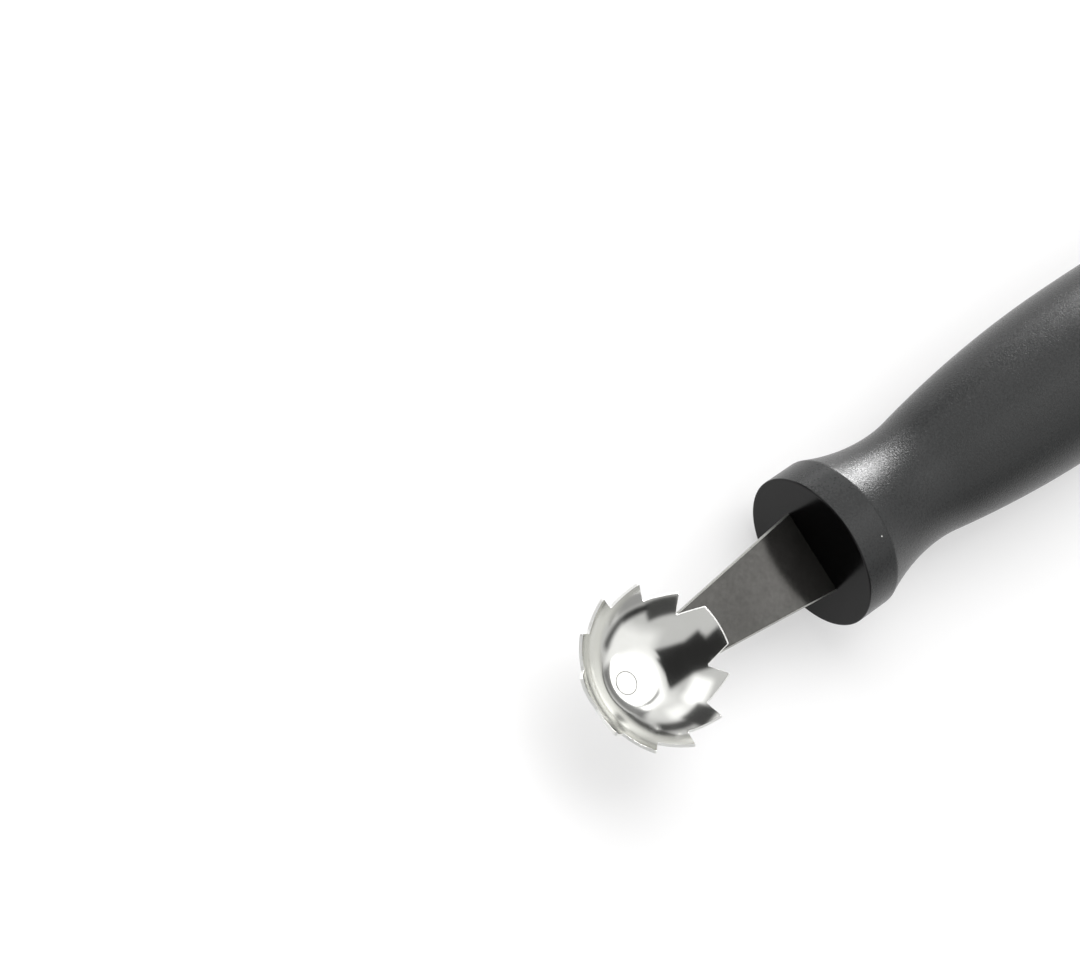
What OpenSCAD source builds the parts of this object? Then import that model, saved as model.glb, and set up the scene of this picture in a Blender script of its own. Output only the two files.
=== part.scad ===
// Tomato corer: a toothed round cup riveted to a flat tapered strip, with a moulded handle.
// The handle lies along X with its belly on Z = 0, and the cup points along -X, open upwards.
// The origin is at the middle of the bottom of the whole tool.

/* [Handle] */
// Length of the handle, from its front face to its rear end
handle_l = 115; // [95:1:140]
// Width of the handle where it is widest
belly_w = 27.3; // [24:0.1:32]
// Height of the handle where it is widest
belly_h = 23.5; // [20:0.1:30]
// Distance from the front face to the widest place
belly_at = 68; // [55:1:80]
// Width of the neck behind the collar
neck_w = 19.8; // [17:0.1:22]
// Height of the neck behind the collar
neck_h = 17; // [14:0.1:20]
// Distance from the front face to the narrowest place of the neck
neck_at = 22; // [16:0.5:30]
// Length over which the neck turns into the belly
neck_ease = 5; // [2:0.5:10]
// Width of the collar at the front
collar_w = 25.8; // [23:0.1:29]
// Height of the collar at the front
collar_h = 22.2; // [19:0.1:27]
// Length of the collar's straight band
collar_l = 6.5; // [3:0.1:10]
// Rounding of the edge around the front face
face_round = 0.3; // [0.2:0.1:1.5]
// Width that the handle tapers to at its rear end
rear_w = 23; // [18:0.1:27]
// Height that the handle tapers to at its rear end
rear_h = 19.8; // [15:0.1:24]
// Length of the rounded rear end
end_l = 12; // [8:0.5:20]

/* [Strip] */
// Thickness of the strip
strip_t = 1.2; // [0.8:0.1:1.6]
// Width of the strip at the handle, and of its tang inside the handle
strip_w = 14; // [11:0.1:15]
// Width of the strip under the cup
strip_end_w = 8.6; // [6.5:0.1:9.5]
// Distance from the front face to the end of the taper
taper_l = 26.5; // [20:0.5:28]
// Length of the tang inside the handle
tang_l = 42; // [34:1:60]
// Corner cut at the end of the tang
tang_cut = 2; // [0.5:0.1:3]
// Diameter of the holes in the tang that the handle fills
anchor_d = 5; // [3:0.1:7]
// Distance from the front face to the first of these holes
anchor_at = 17; // [10:0.5:20]
// Distance between these holes
anchor_pitch = 14; // [10:0.5:16]
// Gap between the tang and the handle moulded around it
tang_gap = 0; // [0:0.01:0.1]

/* [Cup] */
// Radius of the bowl's round inside
bowl_r = 14.7; // [13.6:0.1:18]
// Thickness of the cup's sheet
sheet_t = 0.5; // [0.4:0.05:0.8]
// Distance from the front face to the middle of the bowl
cup_at = 40.5; // [38:0.1:50]
// Radius of the flat seat in the bowl's floor
seat_r = 4.3; // [3.5:0.1:5]
// Diameter across the roots of the teeth, inside
root_d = 21.4; // [19:0.1:23]
// Diameter across the tips of the teeth, inside
tip_d = 25; // [23.5:0.1:26]
// Diameter of the circle that the end of the plain tab lies on, inside
tab_d = 25.9; // [24:0.1:26.6]
// Number of teeth
teeth = 10; // [8:1:12]
// Angle that the plain tab takes up at its foot
tab_foot = 48.8; // [36:0.1:60]
// Angle that the plain tab takes up at its end
tab_end = 28.7; // [20:0.1:34]
// Angle by which the tips of the teeth lean towards the tab
lean = 6.2; // [0:0.1:8]
// Width of the flat at the root between two teeth
root_flat = 0.3; // [0.2:0.05:0.6]
// Width of the blunt tip of a tooth
tip_flat = 0.2; // [0.1:0.05:0.5]

/* [Rivet] */
// Distance from the front face to the rivet
rivet_at = 42.1; // [40:0.1:52]
// Diameter of the rivet's shank
rivet_d = 2.4; // [1.8:0.1:3]
// Gap around the shank and around the flat head
rivet_gap = 0.03; // [0:0.01:0.1]
// Diameter of the flat head, which lies flush in the floor of the cup
head_d = 3.5; // [3.2:0.1:4.5]
// Thickness of the flat head
head_h = 0.25; // [0.15:0.05:0.3]
// Rounding of the flat head's edge, and width of the bevel around its recess
head_round = 0.1; // [0.05:0.01:0.12]
// Diameter of the formed head under the strip
foot_d = 4.2; // [3.6:0.1:5]
// Height of the formed head under the strip
foot_h = 0.8; // [0.4:0.05:1.2]

/* [Hidden] */
$fn = 96;
// Sides of the handle's section, and its sections in each stretch
sides = 48;
edge_steps = 3;
flare_steps = 8;
belly_steps = 14;
rear_steps = 7;
end_steps = 9;
// Angle at which the rounded rear end stops, where a small flat closes it
end_angle = 84;
// Spare length of a cutter past what it cuts
spare = 1;
// Share of a tooth's side by which its outline runs on at the foot, and the tab's at its end too
run_on = 0.4;

// Teeth: the latitude is the angle up from the bottom of the bowl
root_lat = asin(root_d / 2 / bowl_r);
tip_lat = asin(tip_d / 2 / bowl_r);
tab_lat = asin(tab_d / 2 / bowl_r);
tooth_pitch = (360 - tab_foot) / teeth;
root_half = asin(root_flat / root_d);
outer_r = bowl_r + sheet_t;

// Heights above the strip's middle plane, which holds the handle's axis
floor_z = strip_t / 2 + sheet_t;
bowl_z = floor_z + sqrt(bowl_r * bowl_r - seat_r * seat_r);

// Place of the front face: the whole length, from teeth to rear end, is centred on X = 0
front_reach = cup_at + outer_r * sin(tip_lat) * cos(tooth_pitch / 2 + lean);
face_x = (front_reach - handle_l) / 2;
axis_z = belly_h / 2;

// Half size of the handle's section at a distance behind the front face
function flare(d) = pow((neck_at - d) / (neck_at - collar_l), 2);
function eased(s) = s < neck_ease ? s * s / (2 * neck_ease) : s - neck_ease / 2;
function swell(d) = 1 - eased(d - neck_at) / eased(belly_at - neck_at);
function half(d, collar, neck, belly, rear) =
  d <= collar_l ? collar / 2
  : d <= neck_at ? (neck + (collar - neck) * flare(d)) / 2
  : d <= belly_at ? (belly - (belly - neck) * pow(swell(d), 2)) / 2
  : (belly - (belly - rear) * pow((d - belly_at) / (handle_l - belly_at), 2)) / 2;
function half_w(d) = half(d, collar_w, neck_w, belly_w, rear_w);
function half_h(d) = half(d, collar_h, neck_h, belly_h, rear_h);

// Each section is [distance, inset from the outline, share of the outline]
function face_edge() = [for (k = [0 : edge_steps]) let (a = 90 * k / edge_steps)
  [face_round * (1 - cos(a)), face_round * (1 - sin(a)), 1]];
function stretch(from, to, steps) = [for (k = [1 : steps]) [from + (to - from) * k / steps, 0, 1]];
function round_end() = [for (k = [1 : end_steps]) let (a = end_angle * k / end_steps)
  [handle_l - end_l * (1 - sin(a) / sin(end_angle)), 0, cos(a)]];
sections = concat(
  face_edge(),
  [[collar_l, 0, 1]],
  stretch(collar_l, neck_at, flare_steps),
  stretch(neck_at, belly_at, belly_steps),
  stretch(belly_at, handle_l - end_l, rear_steps),
  round_end()
);
function ring(s) = [for (i = [0 : sides - 1]) let (a = 360 * i / sides)
  [s[0], (half_w(s[0]) - s[1]) * s[2] * cos(a), (half_h(s[0]) - s[1]) * s[2] * sin(a)]];

// A closed skin over a row of rings with equally many points
module skin(rings) {
  n = len(rings[0]);
  last = len(rings) - 1;
  walls = [for (j = [0 : last - 1]) for (i = [0 : n - 1]) let (k = (i + 1) % n) each [
    [j * n + i, (j + 1) * n + i, (j + 1) * n + k],
    [j * n + i, (j + 1) * n + k, j * n + k]
  ]];
  front = [[for (i = [0 : n - 1]) i]];
  back = [[for (i = [n - 1 : -1 : 0]) last * n + i]];
  polyhedron(points = [for (r = rings) each r], faces = concat(front, walls, back), convexity = 4);
}

// The outline of the tang, grown by a gap; it runs out of the front face by a given length
module tang_outline(gap, out) {
  end = tang_l + gap;
  side = strip_w / 2 + gap;
  polygon([
    [-out, -side], [end - tang_cut, -side], [end, tang_cut - side],
    [end, side - tang_cut], [end - tang_cut, side], [-out, side]
  ]);
}

// The holes through the tang, or the pillars of the handle that fill them
module anchors(gap) {
  for (x = [anchor_at, anchor_at + anchor_pitch])
    translate([x, 0, 0]) circle(d = anchor_d - 2 * gap);
}

// Puts what is drawn around the handle's axis, from its front face, in its place
module at_face() {
  translate([face_x, 0, axis_z]) children();
}

module handle() {
  color([0.17, 0.17, 0.17])
  at_face()
  difference() {
    skin([for (s = sections) ring(s)]);
    translate([0, 0, -strip_t / 2 - tang_gap])
      linear_extrude(strip_t + 2 * tang_gap)
      difference() {
        tang_outline(tang_gap, spare);
        anchors(tang_gap);
      }
  }
}

module strip_outline() {
  difference() {
    union() {
      tang_outline(0, 0);
      polygon([
        [0, -strip_w / 2], [0, strip_w / 2],
        [-taper_l, strip_end_w / 2], [-rivet_at, strip_end_w / 2],
        [-rivet_at, -strip_end_w / 2], [-taper_l, -strip_end_w / 2]
      ]);
      translate([-rivet_at, 0]) circle(d = strip_end_w);
    }
    anchors(0);
    translate([-rivet_at, 0]) circle(d = rivet_d + 2 * rivet_gap);
  }
}

module strip() {
  color([0.6, 0.6, 0.58])
  at_face()
  translate([0, 0, -strip_t / 2])
  linear_extrude(strip_t) strip_outline();
}

// Everything less than an angle up from the bottom, seen from the middle of the ball
module below(lat) {
  depth = outer_r + spare;
  translate([0, 0, -depth]) cylinder(h = depth, r1 = depth * tan(lat), r2 = 0);
}

// A point on the inside of the ball, seen flat from outside at a middle latitude
function seen(lat, turn, mid) = bowl_r * [
  sin(lat) * sin(turn),
  sin(lat) * cos(turn) * cos(mid) - cos(lat) * sin(mid)
];

// Draws a flat outline on the ball at a middle latitude and pushes it through the sheet
module through_sheet(mid) {
  rotate([0, 180 - mid, 0])
  rotate([0, 0, 90])
  translate([0, 0, bowl_r / 2])
  linear_extrude(outer_r) children();
}

// The outline of a tooth or tab: its sides run straight from the roots to its end, and on past them
module tooth_outline(foot_half, end_lat, end_from, end_to, past_end) {
  mid = (root_lat + end_lat) / 2;
  foot_a = seen(root_lat, -foot_half, mid);
  foot_b = seen(root_lat, foot_half, mid);
  end_a = seen(end_lat, end_from, mid);
  end_b = seen(end_lat, end_to, mid);
  polygon([
    foot_a + (foot_a - end_a) * run_on, foot_b + (foot_b - end_b) * run_on,
    end_b + (end_b - foot_b) * past_end, end_a + (end_a - foot_a) * past_end
  ]);
}

module tooth(turn, tip_turn) {
  blunt = asin(tip_flat / tip_d);
  rotate([0, 0, turn])
  through_sheet((root_lat + tip_lat) / 2)
  tooth_outline(tooth_pitch / 2 - root_half, tip_lat, tip_turn - blunt, tip_turn + blunt, 0);
}

module tab() {
  intersection() {
    below(tab_lat);
    through_sheet((root_lat + tab_lat) / 2)
      tooth_outline(tab_foot / 2 - root_half, tab_lat, -tab_end / 2, tab_end / 2, run_on);
  }
}

module cup() {
  color([0.86, 0.87, 0.86])
  at_face()
  difference() {
    translate([-cup_at, 0, bowl_z])
    intersection() {
      difference() {
        ball_above(outer_r, strip_t / 2 - bowl_z);
        ball_above(bowl_r, floor_z - bowl_z);
      }
      union() {
        below(root_lat);
        for (k = [0 : teeth - 1]) {
          turn = tab_foot / 2 + tooth_pitch * (k + 0.5);
          tooth(turn, lean * sign(turn - 180));
        }
        tab();
      }
    }
    translate([-rivet_at, 0, 0]) {
      cylinder(h = bowl_z, d = rivet_d + 2 * rivet_gap);
      translate([0, 0, floor_z]) head_recess();
    }
  }
}

// What the flat head takes out of the cup's floor at Z = 0: a round pocket with a bevelled edge
module head_recess() {
  pocket_r = head_d / 2 + rivet_gap;
  translate([0, 0, -head_h]) cylinder(h = head_h + spare, r = pocket_r);
  translate([0, 0, -head_round]) cylinder(h = 2 * head_round, r1 = pocket_r, r2 = pocket_r + 2 * head_round);
}

// A ball with its bottom cut flat at a height
module ball_above(r, z) {
  intersection() {
    sphere(r = r);
    translate([-r - spare, -r - spare, z]) cube(2 * (r + spare));
  }
}

// A low round head on Z = 0: a slice of a ball of the diameter and height that are given
module button_head(d, h) {
  ball_r = (d * d / 4 + h * h) / (2 * h);
  translate([0, 0, h - ball_r]) ball_above(ball_r, ball_r - h);
}

// A flat disc on Z = 0 with its upper edge rounded
module flat_head(d, h, edge) {
  rotate_extrude() {
    square([d / 2 - edge, h]);
    square([d / 2, h - edge]);
    translate([d / 2 - edge, h - edge]) circle(r = edge);
  }
}

module rivet() {
  color([0.75, 0.76, 0.75])
  at_face()
  translate([-rivet_at, 0, 0])
  union() {
    translate([0, 0, -strip_t / 2]) cylinder(h = strip_t + sheet_t - head_h, d = rivet_d);
    translate([0, 0, floor_z - head_h]) flat_head(head_d, head_h, head_round);
    translate([0, 0, -strip_t / 2]) mirror([0, 0, 1]) button_head(foot_d, foot_h);
  }
}

handle();
strip();
cup();
rivet();
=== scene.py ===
import math

import bmesh
import bpy
from mathutils import Matrix, Vector


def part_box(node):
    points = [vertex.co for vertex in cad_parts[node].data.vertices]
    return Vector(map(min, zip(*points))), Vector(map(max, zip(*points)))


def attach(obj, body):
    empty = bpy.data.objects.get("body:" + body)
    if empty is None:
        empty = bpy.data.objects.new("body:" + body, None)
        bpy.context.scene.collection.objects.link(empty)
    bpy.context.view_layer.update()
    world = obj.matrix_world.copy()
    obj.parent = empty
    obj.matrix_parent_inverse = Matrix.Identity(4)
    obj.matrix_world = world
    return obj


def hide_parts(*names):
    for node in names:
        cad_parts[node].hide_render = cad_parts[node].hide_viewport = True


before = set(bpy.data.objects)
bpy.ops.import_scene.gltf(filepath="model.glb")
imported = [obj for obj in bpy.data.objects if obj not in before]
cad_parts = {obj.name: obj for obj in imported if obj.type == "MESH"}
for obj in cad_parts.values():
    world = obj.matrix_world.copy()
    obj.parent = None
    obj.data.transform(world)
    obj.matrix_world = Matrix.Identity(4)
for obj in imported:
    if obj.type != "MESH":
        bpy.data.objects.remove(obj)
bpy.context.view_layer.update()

MM = 0.001

# Points nearer than the first are merged, and a place counts as met within the second
SAME_PLACE = 0.001 * MM
NEARLY = 0.01 * MM

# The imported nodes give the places: the handle lies along X and the cup points along -X
handle_low, handle_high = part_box("handle")
strip_low, strip_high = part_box("strip")
face_x = handle_low.x
axis_z = (strip_low.z + strip_high.z) / 2
handle_l = handle_high.x - handle_low.x
belly_w = handle_high.y - handle_low.y
belly_h = handle_high.z - handle_low.z
strip_t = strip_high.z - strip_low.z

# Handle: distances behind the front face, and widths
COLLAR_W = 25.8 * MM
COLLAR_L = 6.5 * MM
NECK_W = 19.8 * MM
NECK_AT = 22 * MM
NECK_EASE = 5 * MM
BELLY_AT = 68 * MM
REAR_W = 23 * MM
END_L = 12 * MM
FACE_ROUND = 0.2 * MM
COLLAR_ROUND = 0.25 * MM
COLLAR_ROUND_STEPS = 3

# An extra ring at this distance keeps the shading of a flat even beside its rounded edge
SUPPORT = 0.2 * MM

HANDLE_SIDES = 144
FACE_STEPS = 6
FLARE_STEPS = 18
SWELL_STEPS = 30
FALL_STEPS = 14
END_STEPS = 24

# Strip: distances from the handle's front face
STRIP_W = 14 * MM
STRIP_END_W = 8.6 * MM
TAPER_L = 26.5 * MM
TANG_L = 42 * MM
TANG_CUT = 2 * MM
STRIP_END_STEPS = 16
STRIP_ROUND = 0.22 * MM
STRIP_ROUND_STEPS = 5
STRIP_SHARP = math.radians(60)

# Cup: a ball with a flat seat, cut into teeth; angles are in degrees
BOWL_R = 14.7 * MM
SHEET_T = 0.5 * MM
CUP_AT = 40.5 * MM
SEAT_R = 4.3 * MM
SEAT_FLAT_R = 3.55 * MM
SEAT_BEND_R = 5.5 * MM
ROOT_D = 21.4 * MM
TIP_D = 25 * MM
TAB_D = 25.9 * MM
TEETH = 10
TAB_FOOT = 48.8
TAB_END = 28.7
LEAN = 6.2
ROOT_FLAT = 0.3 * MM
TIP_FLAT = 0.2 * MM
EVEN_BELOW_ROOTS = 6
TAB_STEPS = 8
SIDE_STEPS = 12
CUP_EDGE_ROUND = 0.06 * MM
CUP_EDGE_STEPS = 2
CUP_SHARP = math.radians(50)

# Rivet
RIVET_AT = 42.1 * MM
RIVET_HOLE_R = 1.78 * MM

# Pale speck on the collar's band
SPECK_AT = (face_x + 5.1 * MM, -3.2 * MM, axis_z + 10.7 * MM)
SPECK_R = 0.16 * MM

# Floor: the share of plain white that lightens its shadow, and how white that is
FLOOR_HALF = 3
FLOOR_SHARE = 0.4
FLOOR_GLOW = 1.06

# Studio: each panel is strength, azimuth, elevation, turn, half width, half height and soft edge
ROOM = 0.75
LIGHT_PANELS = [
    (0.46, -27, 56, 0, 40, 30, 14),
    (0.4, 11, 64, 0, 20, 20, 20),
    (2.4, 0, 46, 0, 22, 4.5, 5),
    (0.25, 43, 46, 0, 28, 20, 10),
    (0.92, 109, 36, 0, 16, 12, 8),
    (0.48, 74, 33, 0, 15, 8, 8),
    (33, 27, 4, 0, 10, 8, 6),
    (11, 41, -1, 0, 11, 4, 4),
]
DARK_FLAGS = [
    (0.96, 166, 13, 13, 14, 14, 4),
    (0.96, 160, 55, 20, 18, 33, 4),
    (0.96, 163, 55, 0, 19, 30, 4),
    (0.9, 82, 15, 8, 13, 13, 4),
    (0.88, 56, 16, 0, 15, 6, 5),
    (0.9, -116, 21, 26, 17, 12, 4),
    (0.96, -86, 22, 0, 16, 5, 5),
    (0.9, -56, 21, 0, 16, 4.5, 6),
    (0.76, 3, 34, 0, 24, 10, 6),
    (0.75, 20, 48, -20, 3.5, 20, 4),
    (0.45, -82, 7, 0, 16, 8, 6),
]
TOP_LAMP_AT = (0.1, 0.5, 1.0)
TOP_LAMP_SIZE = 0.9
TOP_LAMP_POWER = 7

# Camera: a lens and sensor in millimetres, its place and two of its directions
LENS = 120
SENSOR = 36
VIEW_FROM = (-0.36191, 0.04074, 0.45732)
VIEW_RIGHT = (0.7003, -0.5331, 0.4748)
VIEW_AHEAD = (0.5514, -0.0185, -0.8340)


# Meshes

def placed(name, data):
    """Puts a mesh, a lamp or a camera in the scene."""
    thing = bpy.data.objects.new(name, data)
    bpy.context.scene.collection.objects.link(thing)
    return thing


def mesh_of(bm, name, material):
    """Turns a bmesh into a mesh with its first material."""
    mesh = bpy.data.meshes.new(name)
    bm.to_mesh(mesh)
    bm.free()
    mesh.materials.append(material)
    return mesh


def finished(bm, name, material, node):
    """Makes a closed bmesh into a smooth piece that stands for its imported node."""
    mesh = mesh_of(bm, name, material)
    for face in mesh.polygons:
        face.use_smooth = True
    piece = placed(name, mesh)
    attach(piece, "root")
    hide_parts(node)
    return piece


def merge_doubles(bm):
    """Joins the vertices that lie in one place."""
    bmesh.ops.remove_doubles(bm, verts=bm.verts, dist=SAME_PLACE)


def round_edges(bm, edges, width, steps):
    """Rounds some edges of a bmesh."""
    bmesh.ops.bevel(
        bm, geom=edges, offset=width, offset_type="OFFSET", segments=steps,
        profile=0.5, affect="EDGES", material=-1,
    )


def between(start, end, steps):
    """Evenly spaced values after start, up to and with end."""
    return [start + (end - start) * k / steps for k in range(1, steps + 1)]


def eased(s):
    """Grows as a square over the ease length, and then evenly."""
    if s < NECK_EASE:
        return s * s / (2 * NECK_EASE)
    return s - NECK_EASE / 2


def handle_radius(d):
    """Half the handle's width at a distance behind its front face."""
    if d <= COLLAR_L:
        return COLLAR_W / 2
    if d <= NECK_AT:
        flare = ((NECK_AT - d) / (NECK_AT - COLLAR_L)) ** 2
        return (NECK_W + (COLLAR_W - NECK_W) * flare) / 2
    if d <= BELLY_AT:
        swell = 1 - eased(d - NECK_AT) / eased(BELLY_AT - NECK_AT)
        return (belly_w - (belly_w - NECK_W) * swell ** 2) / 2
    fall = (d - BELLY_AT) / (handle_l - BELLY_AT)
    return (belly_w - (belly_w - REAR_W) * fall ** 2) / 2


def handle_profile():
    """The handle's outline from the middle of its face to the middle of its rear end."""
    rim = COLLAR_W / 2 - FACE_ROUND
    points = [(0, 0), (0, rim / 2), (0, rim - SUPPORT), (0, rim)]
    for a in between(0, math.pi / 2, FACE_STEPS):
        points.append((FACE_ROUND * (1 - math.cos(a)), rim + FACE_ROUND * math.sin(a)))
    after_collar = COLLAR_L + COLLAR_ROUND
    along = [FACE_ROUND + SUPPORT, COLLAR_L / 2, COLLAR_L - COLLAR_ROUND - SUPPORT, COLLAR_L]
    along.append(after_collar)
    along += between(after_collar, NECK_AT, FLARE_STEPS)
    along += between(NECK_AT, BELLY_AT, SWELL_STEPS)
    along += between(BELLY_AT, handle_l - END_L, FALL_STEPS)
    points += [(d, handle_radius(d)) for d in along]
    for a in between(0, math.pi / 2, END_STEPS):
        d = handle_l - END_L * (1 - math.sin(a))
        points.append((d, handle_radius(d) * math.cos(a)))
    return points


def handle_piece(material):
    """The handle: its outline spun about its axis and pressed to its oval section."""
    bm = bmesh.new()
    verts = [bm.verts.new((face_x + d, r, 0)) for d, r in handle_profile()]
    edges = [bm.edges.new(pair) for pair in zip(verts, verts[1:])]
    bmesh.ops.spin(
        bm, geom=verts + edges, cent=(0, 0, 0), axis=(1, 0, 0), angle=math.tau,
        steps=HANDLE_SIDES, use_merge=True, use_duplicate=False,
    )
    merge_doubles(bm)
    collar_x = face_x + COLLAR_L
    corner = [e for e in bm.edges if all(abs(v.co.x - collar_x) < NEARLY for v in e.verts)]
    round_edges(bm, corner, COLLAR_ROUND, COLLAR_ROUND_STEPS)
    bmesh.ops.scale(bm, vec=(1, 1, belly_h / belly_w), verts=bm.verts)
    bmesh.ops.translate(bm, vec=(0, 0, axis_z), verts=bm.verts)
    bmesh.ops.recalc_face_normals(bm, faces=bm.faces)
    return finished(bm, "moulded_handle", material, "handle")


def strip_piece(material, edge_material):
    """The strip: half its outline mirrored, raised to its thickness and rounded along its edges."""
    bm = bmesh.new()
    half = [
        (TANG_L, 0), (TANG_L, STRIP_W / 2 - TANG_CUT), (TANG_L - TANG_CUT, STRIP_W / 2),
        (0, STRIP_W / 2), (-TAPER_L, STRIP_END_W / 2), (-RIVET_AT, STRIP_END_W / 2),
    ]
    verts = [bm.verts.new((face_x + x, y, strip_low.z)) for x, y in half]
    for pair in zip(verts, verts[1:]):
        bm.edges.new(pair)
    bmesh.ops.spin(
        bm, geom=[verts[-1]], cent=(face_x - RIVET_AT, 0, strip_low.z), axis=(0, 0, 1),
        angle=math.pi / 2, steps=STRIP_END_STEPS, use_merge=False, use_duplicate=False,
    )
    bmesh.ops.mirror(bm, geom=bm.verts[:] + bm.edges[:], axis="Y", merge_dist=SAME_PLACE)
    merge_doubles(bm)
    bmesh.ops.edgeloop_fill(bm, edges=bm.edges)
    raised = bmesh.ops.extrude_face_region(bm, geom=bm.faces[:])["geom"]
    top = [v for v in raised if isinstance(v, bmesh.types.BMVert)]
    bmesh.ops.translate(bm, vec=(0, 0, strip_t), verts=top)
    bmesh.ops.recalc_face_normals(bm, faces=bm.faces)
    corners = [e for e in bm.edges if e.calc_face_angle(0) > STRIP_SHARP]
    round_edges(bm, corners, STRIP_ROUND, STRIP_ROUND_STEPS)
    piece = finished(bm, "tapered_strip", material, "strip")
    piece.data.materials.append(edge_material)
    for face in piece.data.polygons:
        level = abs(face.normal.z) > 0.999
        face.use_smooth = not level
        face.material_index = 0 if level else 1
    return piece


def latitude(diameter):
    """The angle up from the bottom of the ball where its level circle has this diameter."""
    return math.asin(diameter / 2 / BOWL_R)


def on_ball(lat, turn):
    """A point on the inside of the bowl, from the ball's middle; turn 0 is towards the handle."""
    return BOWL_R * Vector((
        math.sin(lat) * math.cos(turn),
        math.sin(lat) * math.sin(turn),
        -math.cos(lat),
    ))


def side_points(foot, tip):
    """Turns and latitudes along a straight side; its foot and its tip are latitude and turn."""
    start = on_ball(*foot)
    end = on_ball(*tip)
    middle = (foot[0] + tip[0]) / 2
    look = on_ball(middle, 0).normalized()
    flat_start = start - start.dot(look) * look
    flat_end = end - end.dot(look) * look
    places = []
    for share in between(0, 1, SIDE_STEPS):
        flat = flat_start.lerp(flat_end, share)
        point = flat + math.sqrt(BOWL_R ** 2 - flat.length_squared) * look
        places.append((math.atan2(point.y, point.x), math.acos(-point.z / BOWL_R)))
    return places


def rim_places():
    """The bowl's rim once round as turn and latitude, from the middle of the tab."""
    root = latitude(ROOT_D)
    tip = latitude(TIP_D)
    tab = latitude(TAB_D)
    root_half = math.asin(ROOT_FLAT / ROOT_D)
    blunt = math.asin(TIP_FLAT / TIP_D)
    pitch = math.radians(360 - TAB_FOOT) / TEETH
    foot = math.radians(TAB_FOOT) / 2 - root_half
    end = math.radians(TAB_END) / 2
    places = [(0, tab)]
    places += [(t, tab) for t in between(0, end, TAB_STEPS)]
    places += reversed(side_points((root, foot), (tab, end))[:-1])
    places.append((foot, root))
    for k in range(TEETH):
        middle = math.radians(TAB_FOOT) / 2 + pitch * (k + 0.5)
        half = pitch / 2 - root_half
        lean = math.radians(LEAN) * (-1 if middle < math.pi else 1)
        places.append((middle - half, root))
        rise = side_points((root, -half), (tip, lean - blunt))
        fall = side_points((root, half), (tip, lean + blunt))
        places += [(middle + t, lat) for t, lat in rise]
        places += [(middle + t, lat) for t, lat in reversed(fall)]
        places.append((middle + half, root))
    places.append((math.tau - foot, root))
    places += [(math.tau + t, lat) for t, lat in side_points((root, -foot), (tab, -end))]
    places += [(math.tau - end + t, tab) for t in between(0, end, TAB_STEPS)]
    return places


def cup_piece(material, cut_edge):
    """The cup: a sheet from the rivet's hole over the seat and up the bowl to its toothed rim."""
    rim = rim_places()
    columns = len(rim) - 1
    seat_rows, bend_rows, wall_rows, tooth_rows = 1, 12, 14, 12
    rows = seat_rows + bend_rows + wall_rows + tooth_rows
    wall_low = math.asin(SEAT_BEND_R / BOWL_R)
    wall_high = latitude(ROOT_D) - math.radians(EVEN_BELOW_ROOTS)
    floor_z = axis_z + strip_t / 2 + SHEET_T
    middle = Vector((face_x - CUP_AT, 0, floor_z + math.sqrt(BOWL_R ** 2 - SEAT_R ** 2)))
    hole = Vector((face_x - RIVET_AT, 0, floor_z))
    seat = Vector((middle.x, 0, floor_z))

    def place(column, row):
        """A point of the sheet: columns go round the rim, and rows go up from the rivet's hole."""
        turn, top = rim[column]
        way = Vector((math.cos(turn), math.sin(turn), 0))
        bend_start = seat + way * SEAT_FLAT_R
        if row <= seat_rows:
            return (hole + way * RIVET_HOLE_R).lerp(bend_start, row / seat_rows)
        if row < seat_rows + bend_rows:
            share = (row - seat_rows) / bend_rows
            corner = seat + way * SEAT_R
            bend_end = middle + on_ball(wall_low, turn)
            return bend_start.lerp(corner, share).lerp(corner.lerp(bend_end, share), share)
        if row <= rows - tooth_rows:
            share = (row - seat_rows - bend_rows) / wall_rows
            return middle + on_ball(wall_low + (wall_high - wall_low) * share, turn)
        share = (row - rows + tooth_rows) / tooth_rows
        return middle + on_ball(wall_high + (top - wall_high) * share, turn)

    bm = bmesh.new()
    bmesh.ops.create_grid(bm, x_segments=columns, y_segments=rows, size=1)
    for v in bm.verts:
        column = round((v.co.x + 1) / 2 * columns)
        row = round((v.co.y + 1) / 2 * rows)
        v.co = place(column, row)
    merge_doubles(bm)
    bmesh.ops.recalc_face_normals(bm, faces=bm.faces)
    floor_faces = [f for f in bm.faces if f.calc_center_median().z < floor_z + NEARLY]
    if floor_faces[0].normal.z < 0:
        bmesh.ops.reverse_faces(bm, faces=bm.faces)
    piece = finished(bm, "toothed_cup", material, "cup")
    piece.data.materials.append(cut_edge)
    wall = piece.modifiers.new("sheet thickness", "SOLIDIFY")
    wall.thickness = SHEET_T
    wall.offset = -1
    wall.use_even_offset = True
    wall.material_offset_rim = 1
    rounding = piece.modifiers.new("edge rounding", "BEVEL")
    rounding.limit_method = "ANGLE"
    rounding.angle_limit = CUP_SHARP
    rounding.width = CUP_EDGE_ROUND
    rounding.segments = CUP_EDGE_STEPS
    rounding.harden_normals = True
    return piece


# Materials

class Value:
    """A shader socket that takes part in sums, so that a pattern reads as an expression."""

    def __init__(self, shader, socket):
        self.shader = shader
        self.socket = socket

    def math(self, operation, first, second):
        """Adds one Math node."""
        settings = {"operation": operation}
        return self.shader.node("ShaderNodeMath", settings, {0: first, 1: second})[0]

    def largest(self, other):
        return self.math("MAXIMUM", self, other)

    def __add__(self, other):
        return self.math("ADD", self, other)

    def __radd__(self, other):
        return self.math("ADD", other, self)

    def __sub__(self, other):
        return self.math("SUBTRACT", self, other)

    def __rsub__(self, other):
        return self.math("SUBTRACT", other, self)

    def __mul__(self, other):
        return self.math("MULTIPLY", self, other)

    def __rmul__(self, other):
        return self.math("MULTIPLY", other, self)


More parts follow.
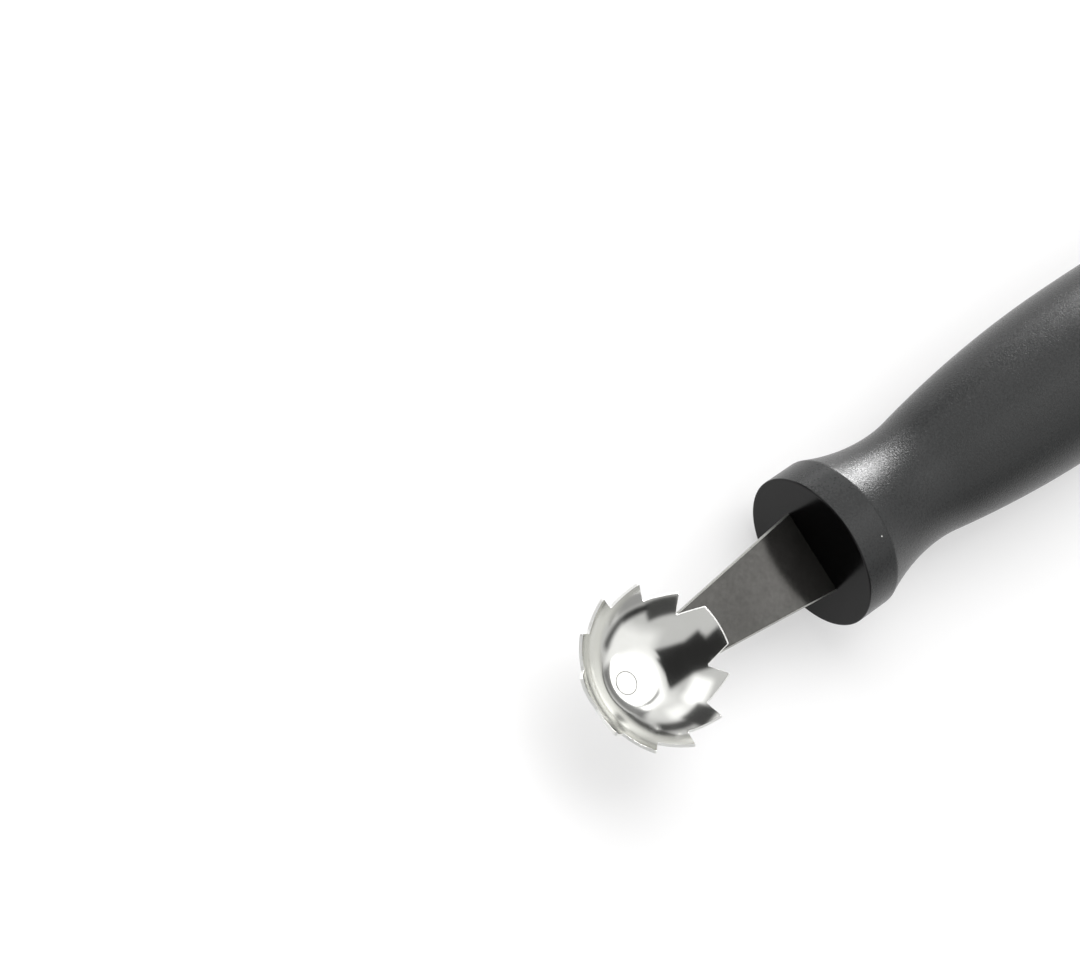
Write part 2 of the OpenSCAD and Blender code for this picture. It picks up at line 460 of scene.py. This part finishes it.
class Shader:
    """The nodes of one material or of the world."""

    # The factor and the two colours of a Mix node
    MIX_SOCKETS = (0, 6, 7)

    def __init__(self, tree):
        self.tree = tree
        tree.nodes.clear()

    def node(self, kind, settings=None, inputs=None):
        """Adds a node: its settings come first, then its sockets take values or links."""
        made = self.tree.nodes.new(kind)
        for name, value in (settings or {}).items():
            setattr(made, name, value)
        for name, value in (inputs or {}).items():
            if isinstance(value, Value):
                self.tree.links.new(value.socket, made.inputs[name])
            else:
                made.inputs[name].default_value = value
        return [Value(self, out) for out in made.outputs if out.enabled]

    def source(self, kind, *names):
        """The named outputs of a new node that takes no inputs."""
        found = {value.socket.name: value for value in self.node(kind)}
        return [found[name] for name in names]

    def place(self):
        """Object coordinates, in metres."""
        return self.source("ShaderNodeTexCoord", "Object")[0]

    def noise(self, scale, detail=2, roughness=0.5, where=None):
        """Soft random variation from 0 to 1 with features of about 1 / scale metres."""
        where = where or self.place()
        settings = {"noise_dimensions": "3D"}
        inputs = {"Vector": where, "Scale": scale, "Detail": detail, "Roughness": roughness}
        return self.node("ShaderNodeTexNoise", settings, inputs)[0]

    def range(self, value, low, high, start, end):
        """Maps low to high onto start to end, and holds the ends."""
        inputs = {"Value": value, "From Min": low, "From Max": high, "To Min": start, "To Max": end}
        return self.node("ShaderNodeMapRange", {"clamp": True}, inputs)[0]

    def blend(self, factor, first, second):
        """A colour from first to second."""
        settings = {"data_type": "RGBA", "blend_type": "MIX"}
        inputs = dict(zip(self.MIX_SOCKETS, (factor, first, second)))
        return self.node("ShaderNodeMix", settings, inputs)[0]

    def spot(self, centre, radius):
        """1 within a radius of a point and 0 outside it, with a soft edge."""
        settings = {"operation": "DISTANCE"}
        away = self.node("ShaderNodeVectorMath", settings, {0: self.place(), 1: centre})[0]
        return self.range(away, radius * 0.7, radius, 1, 0)

    def bump(self, height, distance, strength=1):
        """A normal that follows a height; the distance is the depth in metres."""
        inputs = {"Height": height, "Distance": distance, "Strength": strength}
        return self.node("ShaderNodeBump", None, inputs)[0]

    def surface(self, inputs):
        """The material's one principled surface."""
        made = self.node("ShaderNodeBsdfPrincipled", None, inputs)[0]
        self.node("ShaderNodeOutputMaterial", None, {"Surface": made})


def new_material(name):
    """A material with no nodes yet, and its shader."""
    material = bpy.data.materials.new(name)
    material.use_nodes = True
    return material, Shader(material.node_tree)


def moulded_plastic():
    """Black satin plastic: grained on the grip, finer on the collar's band, and a smooth face
    darkened with painted shade.
    """
    material, s = new_material("moulded black plastic")
    behind = s.node("ShaderNodeSeparateXYZ", None, {0: s.place()})[0] - face_x
    on_face = s.range(behind, FACE_ROUND * 0.5, FACE_ROUND * 1.5, 1, 0)
    on_grip = s.range(behind, COLLAR_L - 0.2 * MM, COLLAR_L + 1.2 * MM, 0, 1)
    grain = s.noise(scale=3400, detail=2, roughness=0.6)
    mottle = s.noise(scale=2200, detail=2, roughness=0.6)
    cloud = s.noise(scale=90, detail=3, roughness=0.55)
    grip_black = s.blend(mottle, (0.011, 0.0115, 0.0115, 1), (0.03, 0.031, 0.031, 1))
    # Painted shade: the front face is given a far darker black than the grip, standing in for the
    # shade it lies in beside the strip.
    black = s.blend(on_face, grip_black, (0.0022, 0.0021, 0.0023, 1))
    satin = 0.2 + 0.06 * cloud + 0.1 * mottle
    height = grain * (0.5 + 0.5 * on_grip)
    s.surface({
        "Base Color": s.blend(s.spot(SPECK_AT, SPECK_R), black, (0.7, 0.7, 0.68, 1)),
        "Roughness": satin - 0.1 * on_face,
        "Normal": s.bump(height * (1 - on_face), distance=0.055 * MM),
        "IOR": 1.46,
        "Specular IOR Level": 0.3,
    })
    return material


def strip_steel():
    """Dull rolled steel: a fine speckle, faint cloudy stains and a light brushing."""
    material, s = new_material("rolled strip steel")
    stretched = s.node("ShaderNodeMapping", None, {"Vector": s.place(), "Scale": (0.12, 1, 1)})[0]
    lines = s.noise(scale=3500, detail=3, roughness=0.6, where=stretched)
    cloud = s.noise(scale=140, detail=4, roughness=0.6)
    speckle = s.noise(scale=1500, detail=3, roughness=0.6)
    stain = s.range(cloud * 0.55 + speckle * 0.45, 0.35, 0.65, 0, 1)
    s.surface({
        "Base Color": s.blend(stain, (0.058, 0.0567, 0.0527, 1), (0.088, 0.086, 0.081, 1)),
        "Metallic": 0.78,
        "Roughness": 0.1 + 0.08 * speckle,
        "Normal": s.bump(lines * 0.6 + speckle * 0.4, distance=0.006 * MM, strength=0.6),
    })
    return material


def strip_edge_steel():
    """The strip's long edges: a much brighter steel than its faces, a painted highlight along them.
    """
    material, s = new_material("strip edge painted bright")
    marks = s.noise(scale=1600, detail=3, roughness=0.6)
    # Painted highlight: the edge steel is several times brighter than the faces, so the edges read
    # as bright lines.
    s.surface({
        "Base Color": s.blend(marks, (0.3, 0.3, 0.285, 1), (0.48, 0.48, 0.455, 1)),
        "Metallic": 0.9,
        "Roughness": 0.24 + 0.1 * marks,
        "Normal": s.bump(marks, distance=0.006 * MM, strength=0.5),
    })
    return material


def polished_steel(name, roughness, wave):
    """Polished steel with the slight waves of pressed sheet and a few fine scratches."""
    material, s = new_material(name)
    waves = s.noise(scale=160, detail=2, roughness=0.4)
    scratches = s.noise(scale=1800, detail=4, roughness=0.7)
    haze = s.noise(scale=420, detail=3, roughness=0.6)
    s.surface({
        "Base Color": s.blend(haze, (0.68, 0.68, 0.65, 1), (0.74, 0.74, 0.72, 1)),
        "Metallic": 1.0,
        "Roughness": roughness + 0.05 * haze,
        "Normal": s.bump(waves + 0.02 * scratches, distance=wave),
    })
    return material


def cut_steel():
    """The stamped edge around the cup's teeth: a paler steel than the bowl, a painted highlight
    along it, but not a mirror.
    """
    material, s = new_material("stamped cup edge")
    marks = s.noise(scale=3000, detail=3, roughness=0.6)
    # Painted highlight: paler and partly non-metal, so the cut edge reads as a bright line under any
    # light.
    s.surface({
        "Base Color": s.blend(marks, (0.86, 0.86, 0.84, 1), (0.93, 0.93, 0.91, 1)),
        "Metallic": 0.7,
        "Roughness": 0.42 + 0.12 * marks,
        "Normal": s.bump(marks, distance=0.01 * MM, strength=0.6),
    })
    return material


def white_floor():
    """White ground: it shows nearly plain white to the camera and in metal, and keeps the shadow."""
    material, s = new_material("white ground")
    seen, mirrored, through = s.source(
        "ShaderNodeLightPath", "Is Camera Ray", "Is Glossy Ray", "Is Transmission Ray",
    )
    shown = seen + mirrored + through
    grain = s.noise(scale=40, detail=2, roughness=0.5)
    paper = s.blend(grain, (0.915, 0.91, 0.91, 1), (0.93, 0.925, 0.925, 1))
    lit = s.node("ShaderNodeBsdfDiffuse", None, {"Color": paper})[0]
    glow = {"Color": (1, 1, 1, 1), "Strength": FLOOR_GLOW}
    plain = s.node("ShaderNodeEmission", None, glow)[0]
    mixed = s.node("ShaderNodeMixShader", None, {0: shown * FLOOR_SHARE, 1: lit, 2: plain})[0]
    s.node("ShaderNodeOutputMaterial", None, {"Surface": mixed})
    return material


# Studio

def top_lamp():
    """A soft square lamp that faces the tool from above; it is left out of mirror images."""
    lamp = bpy.data.lights.new("top lamp", "AREA")
    lamp.shape = "RECTANGLE"
    lamp.size = TOP_LAMP_SIZE
    lamp.size_y = TOP_LAMP_SIZE
    lamp.energy = TOP_LAMP_POWER
    stand = placed("top lamp", lamp)
    place = Vector(TOP_LAMP_AT)
    turn = (-place).to_track_quat("-Z", "Y").to_matrix().to_4x4()
    stand.matrix_world = Matrix.Translation(place) @ turn
    stand.visible_glossy = False


def panel(s, way, azimuth, elevation, turn, wide, high, soft):
    """1 in a soft-edged oblong of the sky: its middle is a direction, and all are degrees."""
    az = math.radians(azimuth)
    el = math.radians(elevation)
    middle = Vector((math.cos(el) * math.cos(az), math.cos(el) * math.sin(az), math.sin(el)))
    level = Vector((-math.sin(az), math.cos(az), 0))
    across = Matrix.Rotation(math.radians(turn), 3, middle) @ level
    upward = middle.cross(across)

    def along(axis):
        """How far the looked-at direction goes along an axis."""
        return s.node("ShaderNodeVectorMath", {"operation": "DOT_PRODUCT"}, {0: way, 1: axis})[0]

    def inside(axis, half):
        """1 within half an angle of the middle, measured along an axis."""
        off = s.node("ShaderNodeMath", {"operation": "ABSOLUTE"}, {0: along(axis)})[0]
        near = math.sin(math.radians(half - soft / 2))
        far = math.sin(math.radians(half + soft / 2))
        return s.range(off, near, far, 1, 0)

    on_this_side = s.range(along(middle), 0, 0.05, 0, 1)
    return inside(across, wide) * inside(upward, high) * on_this_side


def studio_world():
    """A white room with soft panels of light and dark flags, which the polished cup mirrors."""
    world = bpy.data.worlds.new("studio")
    world.use_nodes = True
    bpy.context.scene.world = world
    s = Shader(world.node_tree)
    way = s.source("ShaderNodeTexCoord", "Generated")[0]
    seen = s.source("ShaderNodeLightPath", "Is Camera Ray")[0]
    room = ROOM
    for strength, *oblong in LIGHT_PANELS:
        room = room + strength * panel(s, way, *oblong)
    dark = 0
    for strength, *oblong in DARK_FLAGS:
        dark = (strength * panel(s, way, *oblong)).largest(dark)
    strength = seen + (1 - seen) * (room * (1 - dark))
    light = s.node("ShaderNodeBackground", None, {"Color": (1, 1, 1, 1), "Strength": strength})[0]
    s.node("ShaderNodeOutputWorld", None, {"Surface": light})


def ground(material):
    """The floor under the tool, wide enough to fill the view."""
    bm = bmesh.new()
    bmesh.ops.create_grid(bm, x_segments=2, y_segments=2, size=FLOOR_HALF)
    placed("ground", mesh_of(bm, "ground", material))


def camera():
    """The photograph's view: a long lens, high in front of the cup."""
    lens = bpy.data.cameras.new("view")
    lens.lens = LENS
    lens.sensor_width = SENSOR
    lens.clip_start = 0.01
    lens.clip_end = 20
    right = Vector(VIEW_RIGHT).normalized()
    ahead = Vector(VIEW_AHEAD).normalized()
    up = right.cross(ahead).normalized()
    turn = Matrix((right, up, -ahead)).transposed().to_4x4()
    stand = placed("view", lens)
    stand.matrix_world = Matrix.Translation(VIEW_FROM) @ turn
    bpy.context.scene.camera = stand


# The tool, the floor, the light and the view

handle_piece(moulded_plastic())
strip_piece(strip_steel(), strip_edge_steel())
cup_piece(polished_steel("polished cup steel", roughness=0.1, wave=0.015 * MM), cut_steel())
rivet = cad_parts["rivet"]
rivet.data.materials.clear()
rivet.data.materials.append(polished_steel("polished rivet steel", roughness=0.06, wave=0.01 * MM))

ground(white_floor())
studio_world()
top_lamp()
camera()
bpy.context.scene.view_settings.view_transform = "Standard"
